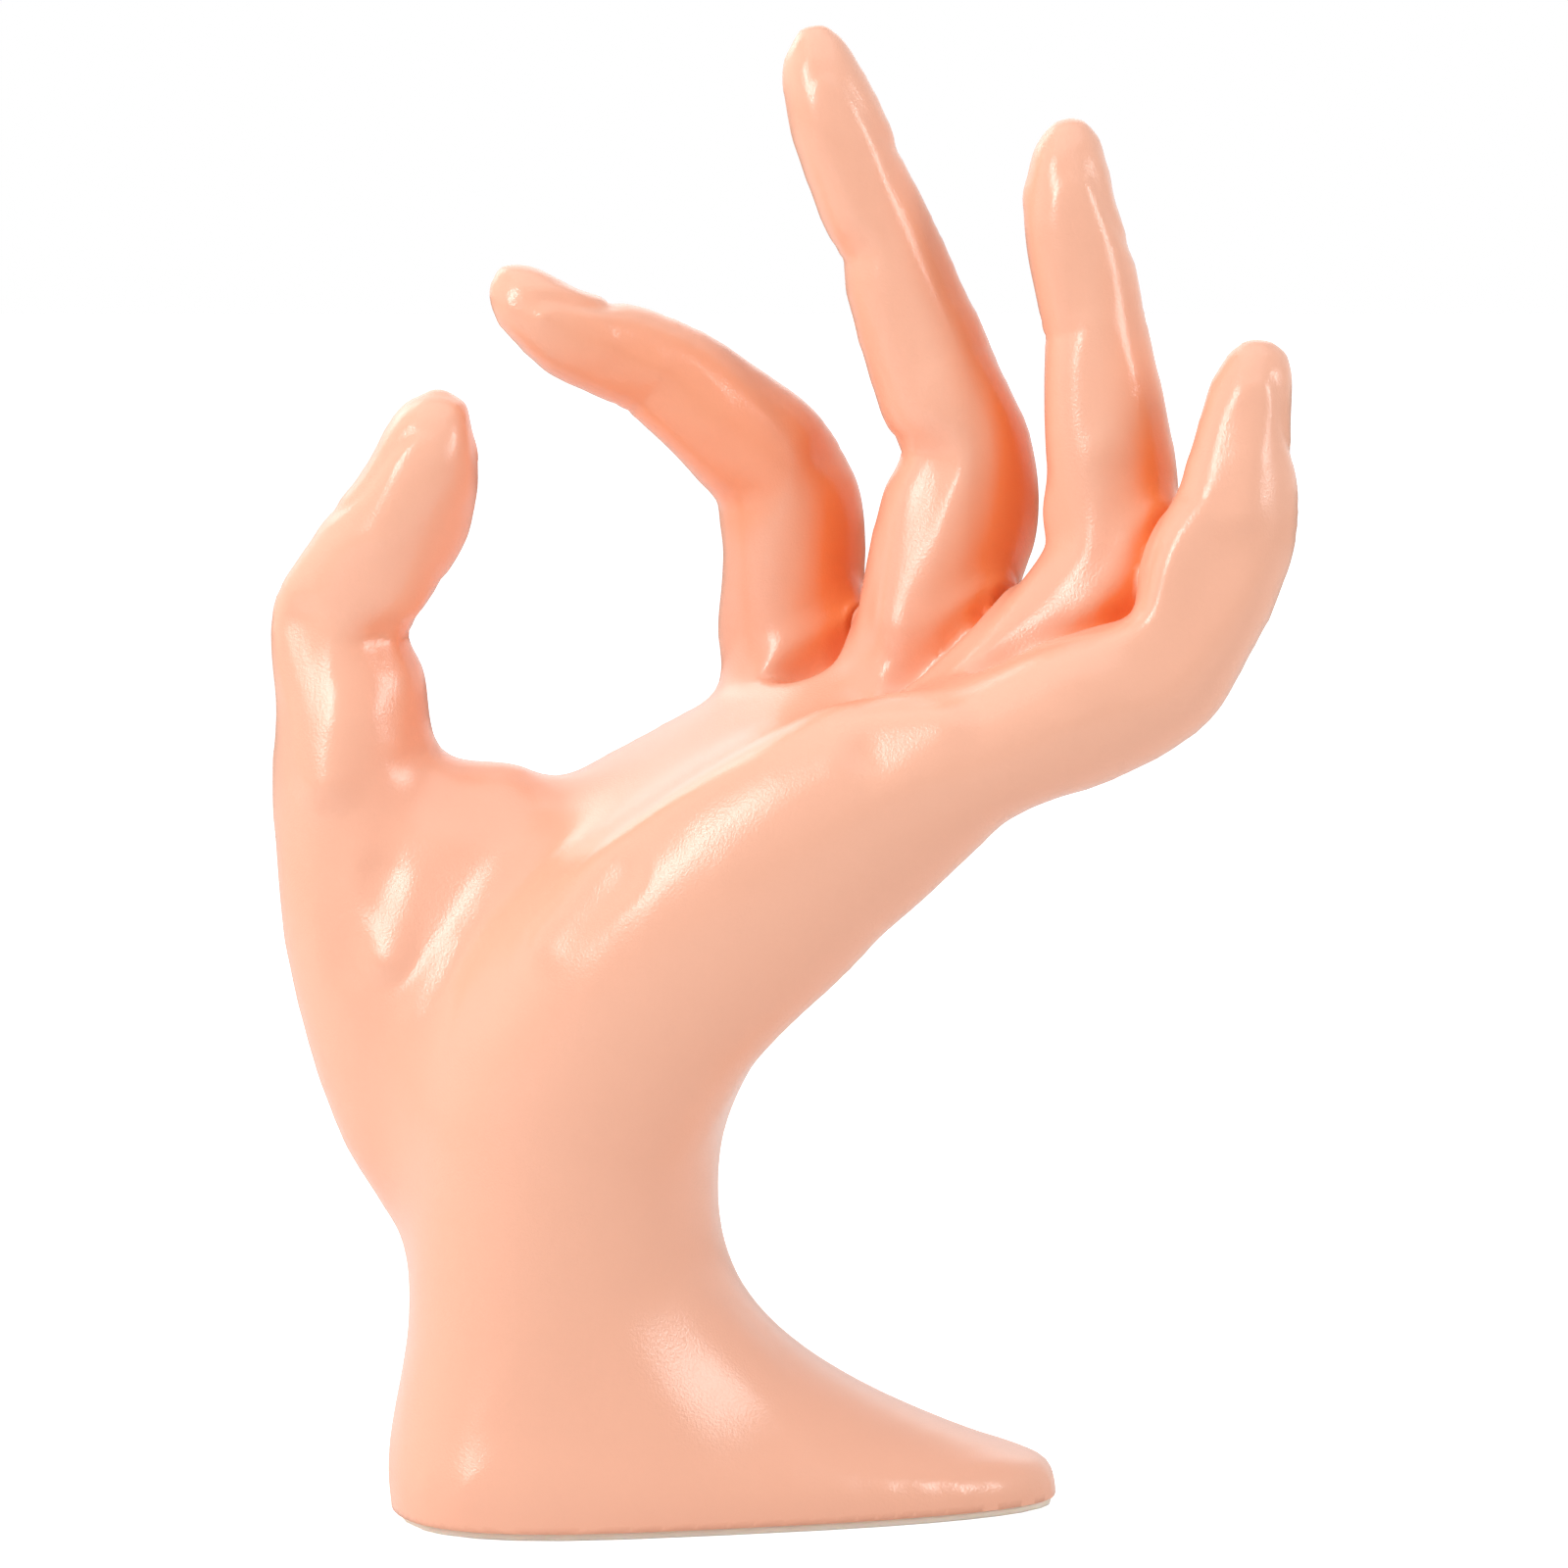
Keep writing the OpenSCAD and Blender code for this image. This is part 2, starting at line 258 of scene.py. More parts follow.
# Creases above this height stay crisp, as seen in a view that looks down by this slope
ROOT_HEIGHT = 90.5
VIEW_SLOPE = 0.087

# How far from the crisp creases the skin turns soft, and how far to the front it is soft all the same
CRISP_STRETCH = (2.0, 6.0)
SOFT_FRONT = (17.0, 20.0)

# Hollow of the palm that is filled: its middle to the left of the fold, the band about it, and how many
# times the passes of the other creases it takes
HOLLOW_MIDDLE = 5.0
HOLLOW_BAND = (9, 16)
HOLLOW_TIMES = 5

# Soft form: its coarser faces, the share of the filling kept off the fingers, and its evening out
SOFT_COARSENESS = 2.0
FINGER_HOLD = 0.85
SOFT_PASSES = 70
BENT_FINGERS = ("third", "little")
BENT_PASSES = 200

# Evening out of the skin: before it is laid on, after the sculpting, beside the creases and in them
LAY_PASSES = 12
SCULPT_SHARE = 0.8
SCULPT_PASSES = 4
BESIDE_START = (0.8, 2.5)
BESIDE_END = (9, 14)
BESIDE_PASSES = 60
CREASE_STRETCH = (2, 4)
CREASE_PASSES = 16

# Painted shade between the fingers, deep orange where they close each other in: how the closeness is spread
# out, and its gain and loss
PAINTED_SHADE_PASSES = 10
PAINTED_SHADE_SPREAD = 0.6
PAINTED_SHADE_GAIN = 2.6
PAINTED_SHADE_LOSS = 0.05
# Painted shade at the roots of the fingers: its share, its reach, and where the front ones stop having it
ROOT_PAINTED_SHADE = 0.9
ROOT_PAINTED_SHADE_STRETCH = (2, 6)
BEHIND_STRETCH = (-14, -8)
# Painted shade under the index: its share, and the bend it lies about, seen from the front
INDEX_PAINTED_SHADE = 0.42
INDEX_BEND = (-3, 118)
INDEX_BEND_STRETCH = (8, 26)

# How far the skin is drawn down to be closed, how close to the rim its points are brought level, and how
# close a face belongs to the rim of the shell or lies level on the cut
SKIRT = 5
RIM_SNAP = 0.35
RIM_ROOM = 0.05
CUT_ROOM = 0.002

# Pulls that true the outline up: name, place, move and reach
PULLS = (
    ("back of the thumb's joint", (-48, 7.5, 98), (-0.9, 0, 0.3), 11),
    ("thumb nail", (-39.5, 5.5, 114), (0.75, 0, -0.45), 9),
    ("thumb tip", (-26, 5.5, 117), (-1.1, 0, -0.2), 7),
    ("thumb pad", (-28.5, 6.5, 105.5), (0.6, 0, -0.3), 6),
    ("front of the thumb's joint", (-32, 7, 98.5), (-0.7, 0, 0.6), 4),
    ("index tip", (-23.5, 8, 134.5), (-0.4, 0, 0.8), 6),
    ("index nail", (-15, 9, 133), (-0.35, 0, -0.9), 7),
    ("back of the index", (-2, 12.5, 127.5), (0.35, 0, 0.7), 12),
    ("right side of the index", (15, 17, 108.5), (0.85, 0, 0.1), 10),
    ("palm side of the index", (-5.5, 13.5, 114), (0.55, 0, 0.55), 8),
    ("index pad", (-23.5, 8, 127), (0.6, 0, 0.55), 7),
    ("left side of the index", (0, 17, 104), (0.5, 0, 0), 7),
    ("foot of the index", (0, 17.5, 93.5), (-0.5, 0, 0), 6),
    ("middle tip", (11, 3.5, 160), (0.2, 0, 0.8), 6),
    ("back of the middle", (31.5, 4.5, 122.5), (-0.85, 0, -0.35), 9),
    ("right side of the middle", (33.5, 4.5, 107), (0.9, 0, 0), 9),
    ("end bone of the middle", (23, 4, 139.5), (0.4, 0, 0.2), 9),
    ("third tip", (38, -4.5, 149.5), (0.1, 0, 1.0), 5),
    ("back of the third", (42.5, -5.5, 142.5), (-0.6, 0, -0.15), 7),
    ("palm side of the third", (33.5, -4.5, 137.5), (-0.5, 0, 0), 8),
    ("joint of the third", (35.5, -5.5, 108.5), (-0.8, 0, -0.2), 5),
    ("back of the little", (60, -19, 108.5), (0.65, 0, 0), 9),
    ("little nail", (60, -18.5, 119), (-0.5, 0, 0), 7),
    ("little knuckle", (48.5, -19.5, 86), (0.45, 0, -0.65), 10),
    ("side of the little knuckle", (56, -19.5, 94), (-0.45, 0, 0.2), 8),
    ("edge of the palm", (33, -20, 77.5), (-0.3, 0, 0.6), 9),
    ("heel of the hand", (23.5, -18, 70.5), (0.55, 0, -0.55), 10),
    ("back of the wrist", (11, -4, 58), (-0.5, 0, 0.4), 18),
    ("upper front of the thumb", (-42, 0, 96), (0, 2.0, 0), 11),
    ("lower front of the thumb", (-42, 0, 80), (0, -1.2, 0), 11),
)
# Places pressed flatter along a line: name, start, end, facing, reach and share
FLATS = (
    ("front of the foot", (-1.5, -17, 15.5), (-1.5, -17, 15.5), (0.45, -0.82, 0.36), 13, 0.65),
    ("upper front of the foot", (-6, -17.3, 21.5), (-6, -17.3, 21.5), (0.48, -0.84, 0.28), 9.5, 0.5),
    ("ball of the thumb", (-30, -2.6, 70), (-33, -4, 63), (-0.04, -0.98, 0.12), 9, 0.45),
    ("side of the ball", (-41.5, -1, 71), (-41.5, -2.2, 61), (-0.36, -0.93, 0.02), 6, 0.6),
    ("outer ball of the thumb", (-36.5, -2.4, 68.5), (-36.5, -3.3, 61), (-0.29, -0.9, 0.32), 4.2, 0.7),
    ("lip of the fold", (-29, -4.6, 61), (-32, -5.6, 54.5), (-0.29, -0.9, 0.31), 3.6, 0.7),
    ("outer front of the thumb", (-46.5, 3, 96), (-43.5, -0.2, 79.5), (-0.34, -0.9, 0.24), 4.5, 0.6),
    ("inner front of the thumb", (-36.7, 3.2, 92.7), (-35.9, 1.5, 84.2), (0.5, -0.84, 0.23), 3.6, 0.4),
    ("heel of the palm", (-17.8, -20.2, 64), (-11, -22.3, 71.2), (-0.35, -0.88, 0.32), 4.2, 0.6),
    ("palm below the fingers", (16.5, -25.8, 84.7), (22.5, -26.5, 87.2), (-0.38, -0.88, 0.28), 5, 0.6),
    ("front of the little finger", (46, -25, 97), (51, -25.5, 105), (0.05, -0.99, 0.05), 9, 0.7),
    ("end of the little finger", (54, -23, 118), (54, -24.5, 110.5), (-0.42, -0.87, 0.24), 4, 0.45),
    ("front of the third finger", (31.8, -13.5, 94.4), (39.5, -13.8, 101.6), (-0.38, -0.89, 0.26), 4, 0.5),
    ("front of the middle finger", (22.4, -2.3, 112.5), (18.6, -2.2, 97), (-0.38, -0.89, 0.25), 4.5, 0.6),
)


# Settings


class HandShape(bpy.types.PropertyGroup):
    """Sizes of the moulded hand that the maker chooses."""

    voxel: FloatProperty(
        name="Mesh size",
        description="Size of the faces the skin is rebuilt with",
        default=0.69 * MM,
        unit="LENGTH",
    )
    fillet_passes: IntProperty(
        name="Fillet passes",
        description="How far creases between the fingers and the palm are filled",
        default=70,
    )
    nail_height: FloatProperty(
        name="Nail height",
        description="How far a nail stands above the skin",
        default=0.2 * MM,
        unit="LENGTH",
    )
    crease_depth: FloatProperty(
        name="Crease depth",
        description="Depth of the folds at the finger joints",
        default=0.2 * MM,
        unit="LENGTH",
    )


class HandFinish(bpy.types.PropertyGroup):
    """Colours and surface of the three materials."""

    skin_colour: FloatVectorProperty(
        name="Skin colour",
        description="Moulded plastic in the open",
        default=(0.95, 0.485, 0.33),
        subtype="COLOR",
    )
    # Painted shade: deep orange painted into the skin where shade and bounced light fall between the fingers
    # and under the index
    painted_shade_colour: FloatVectorProperty(
        name="Painted shade colour",
        description="Painted shade deep between the fingers",
        default=(1.0, 0.27, 0.075),
        subtype="COLOR",
    )
    sheet_colour: FloatVectorProperty(
        name="Sheet colour",
        description="Base sheet",
        default=(1.0, 0.87, 0.75),
        subtype="COLOR",
    )
    cast_colour: FloatVectorProperty(
        name="Ballast colour",
        description="Cast ballast",
        default=(0.72, 0.69, 0.63),
        subtype="COLOR",
    )
    grain: FloatProperty(
        name="Grain",
        description="Size of the fine grain moulded into the skin",
        default=0.3 * MM,
        unit="LENGTH",
    )
    roughness: FloatProperty(
        name="Roughness",
        description="Roughness of the skin",
        default=0.22,
        subtype="FACTOR",
    )


class HandStudio(bpy.types.PropertyGroup):
    """Camera and light."""

    distance: FloatProperty(
        name="Camera distance",
        description="From the camera to the middle of the hand",
        default=0.65,
        unit="LENGTH",
    )
    elevation: FloatProperty(
        name="Camera height",
        description="Angle of the camera above level",
        default=math.radians(5),
        subtype="ANGLE",
    )
    lens: FloatProperty(
        name="Lens",
        description="Focal length on a 36 mm film",
        default=136.9,
        unit="CAMERA",
    )
    fill: FloatProperty(
        name="Fill",
        description="Strength of the light from all around",
        default=0.21,
    )


# Mesh helpers


def take(obj):
    """Makes one object the only one selected."""
    bpy.ops.object.select_all(action="DESELECT")
    obj.select_set(True)
    bpy.context.view_layer.objects.active = obj


@contextmanager
def edit_mode(obj):
    """Edit mode on one object alone, and object mode again after it."""
    take(obj)
    bpy.ops.object.mode_set(mode="EDIT")
    yield
    bpy.ops.object.mode_set(mode="OBJECT")


def modify(obj, kind, **settings):
    """Adds one modifier with its settings and applies it."""
    take(obj)
    modifier = obj.modifiers.new(kind, kind)
    for name, value in settings.items():
        setattr(modifier, name, value)
    bpy.ops.object.modifier_apply(modifier=modifier.name)


def copy_node(node, name):
    """A merged copy of a CAD node's mesh as a new object."""
    obj = bpy.data.objects.new(name, frame["nodes"][node].data.copy())
    bpy.context.scene.collection.objects.link(obj)
    obj.data.materials.clear()
    with edit_mode(obj):
        bpy.ops.mesh.select_all(action="SELECT")
        bpy.ops.mesh.remove_doubles(threshold=0.005 * MM)
        bpy.ops.mesh.select_all(action="DESELECT")
    return obj


def read_points(mesh):
    """Vertices in millimetres."""
    flat = np.empty(len(mesh.vertices) * 3, np.float32)
    mesh.vertices.foreach_get("co", flat)
    return flat.reshape(-1, 3).astype(float) / MM


def write_points(mesh, points):
    """Moves the vertices to places in millimetres."""
    mesh.vertices.foreach_set("co", (points * MM).astype(np.float32).ravel())
    mesh.update()


def read_normals(mesh):
    """Normals of the vertices."""
    flat = np.empty(len(mesh.vertices) * 3, np.float32)
    mesh.vertex_normals.foreach_get("vector", flat)
    return flat.reshape(-1, 3).astype(float)


def everywhere(mesh, share=1.0):
    """The same weight for every vertex."""
    return np.full(len(mesh.vertices), share)


class Net:
    """Who neighbours whom on a mesh."""

    def __init__(self, mesh):
        pairs = np.empty(len(mesh.edges) * 2, np.int32)
        mesh.edges.foreach_get("vertices", pairs)
        self.size = len(mesh.vertices)
        self.count = np.maximum(np.bincount(pairs, minlength=self.size), 1)
        self.one, self.other = pairs.reshape(-1, 2).T

    def mean(self, values):
        """Average of each vertex's neighbours."""
        total = np.empty_like(values)
        for k in range(values.shape[1]):
            column = values[:, k]
            total[:, k] = np.bincount(self.one, column[self.other], self.size)
            total[:, k] += np.bincount(self.other, column[self.one], self.size)
        return total / self.count[:, None]


def sharp_creases(mesh, facing, angle=math.radians(35), spacing=0.4 * MM):
    """Places along the concave edges of a mesh that face one way and bend by more than an angle."""
    work = bmesh.new()
    work.from_mesh(mesh)
    places = []
    for edge in work.edges:
        if len(edge.link_faces) != 2 or edge.calc_face_angle_signed(0.0) >= -angle:
            continue
        one, other = edge.link_faces
        if (one.normal + other.normal).dot(facing) < 0.0:
            continue
        start, end = (vertex.co.copy() for vertex in edge.verts)
        steps = 1 + int((end - start).length / spacing)
        places += [start.lerp(end, step / steps) for step in range(steps + 1)]
    work.free()
    return places


def fill_creases(mesh, weight, passes, pace=0.8, refresh=5):
    """Lets hollows rise and leaves ridges alone, so that creases become fillets."""
    points = read_points(mesh)
    net = Net(mesh)
    for done in range(passes):
        if done % refresh == 0:
            write_points(mesh, points)
            normals = read_normals(mesh)
        lift = np.maximum(((net.mean(points) - points) * normals).sum(1), 0.0)
        points = points + normals * (pace * weight * lift)[:, None]
    write_points(mesh, points)


def relax(mesh, weight, passes, pull_in=0.5, push_out=0.52):
    """Evens the surface out and keeps its volume."""
    points = read_points(mesh)
    net = Net(mesh)
    for _ in range(passes):
        for pace in (pull_in, -push_out):
            points = points + (pace * weight)[:, None] * (net.mean(points) - points)
    write_points(mesh, points)


# Places on the hand


def finger_share(points, names=tuple(FINGERS), first=0):
    """0 on the palm and foot, 1 on the named fingers from one of their bones on."""
    share = np.zeros(len(points))
    for finger in (FINGERS[name] for name in names):
        for number in range(first, finger.last + 1):
            along, side, palm = finger.measure(points, number)
            near = fade(np.hypot(side, palm), 0.6 * finger.root, finger.root)
            begun = rise(along, *(ROOT_STRETCH if number == 0 else BONE_STRETCH))
            share = np.maximum(share, near * begun * (along < finger.length(number) + END_ROOM))
    return share


def from_line(points, line):
    """How far points lie from a line seen from the front, and the share of its length reached there.

    The distance is more than zero to the left of the line and less than zero to its right.
    """
    flat = points[:, [0, 2]]
    best = np.full(len(points), np.inf)
    sign = np.ones(len(points))
    reached = np.zeros(len(points))
    for k, (start, end) in enumerate(zip(line[:-1], line[1:])):
        span = end - start
        t = np.clip((flat - start) @ span / (span @ span), 0, 1)
        away = flat - start - t[:, None] * span
        far = np.linalg.norm(away, axis=1)
        closer = far < best
        best = np.where(closer, far, best)
        sign = np.where(closer, np.sign(span[0] * away[:, 1] - span[1] * away[:, 0]), sign)
        reached = np.where(closer, (k + t) / (len(line) - 1), reached)
    return best * sign, reached


def to_segment(points, start, end):
    """Distances of the points from the straight line between two places, which may be the same."""
    start = np.array(start, float)
    along = np.array(end, float) - start
    share = np.clip((points - start) @ along / max(along @ along, 1e-9), 0.0, 1.0)
    return np.linalg.norm(points - start - share[:, None] * along, axis=1)


def spread_rays(count):
    """Directions over the half ball about +Z, on a spiral that is densest at its pole."""
    k = np.arange(count) + 0.5
    height = np.sqrt(k / count)
    flat = np.sqrt(1 - height**2)
    turn = math.pi * (1 + math.sqrt(5)) * k
    return np.stack([flat * np.cos(turn), flat * np.sin(turn), height], 1)


def recess_depth(mesh, reach=28.0, count=20, gap=0.05, far_loss=0.6, askew=(0.31, 0.87, 0.39)):
    """How closed in each vertex is, 0 in the open and towards 1 deep between the fingers.

    Rays start a gap above the skin, and one that hits far away counts less. Askew is any direction that
    no normal follows.
    """
    points = read_points(mesh)
    normals = read_normals(mesh)
    mesh.calc_loop_triangles()
    corners = [tuple(triangle.vertices) for triangle in mesh.loop_triangles]
    tree = BVHTree.FromPolygons([tuple(point) for point in points], corners)
    rays = spread_rays(count)
    closed = np.zeros(len(points))
    for number, (point, normal) in enumerate(zip(points, normals)):
        side = unit(np.cross(normal, askew))
        start = Vector(point + gap * normal)
        hits = 0.0
        for ray in rays @ np.array([side, np.cross(normal, side), normal]):
            distance = tree.ray_cast(start, Vector(ray), reach)[3]
            if distance is not None:
                hits += 1.0 - far_loss * distance / reach
        closed[number] = hits / count
    return closed


# Sculpted detail: lifts and moves in millimetres


def carve_nail(finger, points, height):
    """Raised nail with a groove around it on the back of the last bone."""
    length = finger.length(finger.last)
    along, side, palm = finger.measure(points, finger.last)
    radius = finger.tip / 2
    middle = 0.72 * length
    half = 0.33 * length
    breadth = 0.82 * radius
    edge = (np.abs((along - middle) / half) ** 3 + np.abs(side / breadth) ** 3) ** (1 / 3)
    out = (edge - 1.0) * min(half, breadth)
    on_back = rise(-palm, 0.1 * radius, 0.45 * radius) * (np.hypot(side, palm) < 1.7 * radius)
    plate = height * fade(out, *NAIL_EDGE)
    groove = -GROOVE_SHARE * height * bump(out - GROOVE_OFFSET, GROOVE_WIDTH)
    return on_back * (plate + groove * fade(along, 0.8 * length, length))


def carve_joint(finger, points, number, notch, crease):
    """Notch and folds across the palm side of one joint, and wrinkles across its back."""
    along = unit(finger.direction(number - 1) + finger.direction(number))
    side, palm = finger.across(along)
    away = points - finger.joints[number]
    past = away @ along
    near, facing = finger.wrap(away @ side, away @ palm)
    front = rise(facing, -0.1, 0.6)
    back = rise(-facing, 0.45, 0.9)
    second = SECOND_FOLD_SHARE * bump(past - SECOND_FOLD_OFFSET, FINE_FOLD_WIDTH) * rise(facing, 0.3, 0.8)
    dent = -notch * bump(past, NOTCH_WIDTH)
    fold = -crease * (bump(past, JOINT_FOLD_WIDTH) + second)
    wrinkles = sum(bump(past - k * WRINKLE_SPACING, FINE_FOLD_WIDTH) for k in (0, 1, -1))
    return near * (front * (dent + fold) + back * (-WRINKLE_SHARE * crease * wrinkles))


def carve_pad(finger, points, number, swell):
    """Swelling of the palm side between two joints."""
    length = finger.length(number)
    along, side, palm = finger.measure(points, number)
    near, facing = finger.wrap(side, palm)
    return swell * near * rise(facing, 0.0, 0.9) * bump(along - 0.52 * length, 0.3 * length)


def carve_fold(points, normals):
    """Valley along the fold of the palm and the ridge beside it."""
    far, reached = from_line(points, PALM_FOLD)
    facing = turned_to(normals, PALM_WAY, 0.0, 0.5)
    ends = rise(reached, 0.0, 0.2) * rise(1.0 - reached, 0.0, 0.12)
    valley = -FOLD_DEPTH * bump(far - FOLD_OFFSET, FOLD_WIDTH)
    ridge = RIDGE_SHARE * FOLD_DEPTH * bump(far + FOLD_OFFSET, RIDGE_WIDTH)
    return facing * ends * (valley + ridge)


def pulled(points, place, move, reach):
    """The points with those about a place moved, less and less out to the reach."""
    far = np.linalg.norm(points - np.array(place), axis=1) / reach
    share = np.clip(1.0 - far**2, 0.0, 1.0) ** 2
    return points + share[:, None] * np.array(move)


def flattened(points, start, end, facing, reach, share):
    """The points with those along a line pressed a share of the way to a plane that faces one way."""
    way = unit(facing)
    near = fade(to_segment(points, start, end), 0.1 * reach, reach)
    height = (points - near @ points / near.sum()) @ way
    return points - (share * near * height)[:, None] * way


# Finishes


class Value:
    """One shader value, ready for sums, products and comparisons."""

    def __init__(self, nodes, socket):
        self.nodes = nodes
        self.socket = socket

    def reckon(self, operation, first, second):
        """Adds the Math node for one operation."""
        return self.nodes.node("ShaderNodeMath", {0: first, 1: second}, operation=operation)

    def __add__(self, other):
        return self.reckon("ADD", self, other)

    def __radd__(self, other):
        return self.reckon("ADD", other, self)

    def __sub__(self, other):
        return self.reckon("SUBTRACT", self, other)

    def __rsub__(self, other):
        return self.reckon("SUBTRACT", other, self)

    def __mul__(self, other):
        return self.reckon("MULTIPLY", self, other)

    def __rmul__(self, other):
        return self.reckon("MULTIPLY", other, self)

    def __lt__(self, other):
        return self.reckon("LESS_THAN", self, other)

    def __gt__(self, other):
        return self.reckon("GREATER_THAN", self, other)


class Nodes:
    """The nodes of one material or world."""

    # Sockets of a Mix node that blends colours
    mix_share = 0
    mix_first = 6
    mix_second = 7
    mix_result = 2

    def __init__(self, tree):
        self.tree = tree

    def node(self, kind, inputs=None, output=0, **settings):
        """Adds a node, sets it up, fills its inputs and returns one of its outputs."""
        made = self.tree.nodes.new(kind)
        for name, value in settings.items():
            setattr(made, name, value)
        for name, value in (inputs or {}).items():
            self.feed(value, made.inputs[name])
        return Value(self, made.outputs[output])

    def feed(self, value, socket):
        """Links a shader value to a socket, or sets a plain number or colour on it."""
        if isinstance(value, Value):
            self.tree.links.new(value.socket, socket)
        else:
            socket.default_value = value

    def place(self):
        """Place on the piece, in metres."""
        return self.node("ShaderNodeTexCoord", output="Object")

    def noise(self, size, detail=2.0, rough=0.5):
        """Noise from 0 to 1 with spots of about that size in metres."""
        inputs = {"Vector": self.place(), "Scale": 1.0 / size, "Detail": detail, "Roughness": rough}
        return self.node("ShaderNodeTexNoise", inputs)

    def blend(self, share, first, second):
        """Colour between two colours."""
        inputs = {self.mix_share: share, self.mix_first: first, self.mix_second: second}
        return self.node("ShaderNodeMix", inputs, output=self.mix_result, data_type="RGBA")


class Finish(Nodes):
    """One material: a Principled shader and the nodes that feed it."""

    def __init__(self, name, **constants):
        self.material = bpy.data.materials.new(name)
        self.material.use_nodes = True
        super().__init__(self.material.node_tree)
        self.shader = self.tree.nodes["Principled BSDF"]
        for socket, value in constants.items():
            self.set(socket.replace("_", " "), value)

    def set(self, socket, value):
        """Feeds one of the shader's sockets."""
        self.feed(value, self.shader.inputs[socket])

    def relief(self, height, depth, strength):
        """Fine relief on the shader's normal."""
        inputs = {"Height": height, "Distance": depth, "Strength": strength}
        self.set("Normal", self.node("ShaderNodeBump", inputs))


def paint(colour, share=1.0):
    """A colour with its alpha, darker where the share is below 1."""
    return (colour[0] * share, colour[1] * share, colour[2] * share, 1.0)


def grey(level):
    """A grey with its alpha."""
    return paint((level, level, level))


def skin_finish(look):
    """Peach satin plastic with a fine moulded grain, and painted shade in deep orange between the fingers."""
    made = Finish("peach_satin_plastic", IOR=1.55)
    # Painted shade: the share stored on the mesh blends the skin towards deep orange
    painted_shade = made.node("ShaderNodeAttribute", output="Fac", attribute_name="painted_shade")
    cloud = made.noise(22 * MM, detail=3.0)
    colour = made.blend(painted_shade, paint(look.skin_colour), paint(look.painted_shade_colour))
    made.set("Base Color", made.blend(0.1 * cloud, colour, paint(look.skin_colour, 0.9)))
    swing = 0.04
    made.set("Roughness", look.roughness - swing / 2 + swing * made.noise(6 * MM))
    made.relief(made.noise(look.grain, rough=0.6), depth=0.04 * MM, strength=0.8)
    return made.material


def sheet_finish(look):
    """Pale sheet plastic, sawn to shape."""
    made = Finish("pale_sheet_plastic", Subsurface_Weight=0.2, Subsurface_Scale=2 * MM, IOR=1.46)
    streak = made.noise(3 * MM, detail=4.0)
    made.set("Base Color", made.blend(0.5 * streak, paint(look.sheet_colour), paint(look.sheet_colour, 0.82)))
    made.set("Roughness", 0.5 + 0.15 * streak)
    made.relief(made.noise(0.8 * MM, detail=3.0), depth=0.05 * MM, strength=0.5)
    return made.material


def cast_finish(look, pits_per_metre=260.0, pit_radius=0.18):
    """Cast plaster with small pits, their radius as a share of their spacing, and painted shade darkening the
    pits.
    """
    made = Finish("cast_plaster", IOR=1.5)
    grain = made.noise(1.5 * MM, detail=5.0, rough=0.6)
    pits = made.node("ShaderNodeTexVoronoi", {"Vector": made.place(), "Scale": pits_per_metre}) < pit_radius
    colour = made.blend(0.6 * grain, paint(look.cast_colour), paint(look.cast_colour, 0.8))
    # Painted shade: the pits are painted darker as well as sunk by the relief
    made.set("Base Color", made.blend(0.4 * pits, colour, paint(look.cast_colour, 0.5)))
    made.set("Roughness", 0.8 + 0.15 * grain)
    made.relief(grain - 0.8 * pits, depth=0.3 * MM, strength=0.7)
    return made.material


def floor_finish(near=0.1, far=0.6, near_glow=0.72):
    """White floor that glows to the camera alone, less close to the hand, so that its shadow stays."""
    made = Finish(
        "studio_white", Base_Color=grey(0.9), Roughness=0.9, Specular_IOR_Level=0.1, Emission_Strength=1.0
    )
    seen = made.node("ShaderNodeLightPath", output="Is Camera Ray")
    away = made.node("ShaderNodeVectorMath", {0: made.place()}, output="Value", operation="LENGTH")
    outside = made.node("ShaderNodeMapRange", {"Value": away, "From Min": near, "From Max": far})
    glow = made.blend(outside, grey(near_glow), grey(1.0))
    made.set("Emission Color", made.blend(seen, grey(0.0), glow))
    return made.material


# Operators


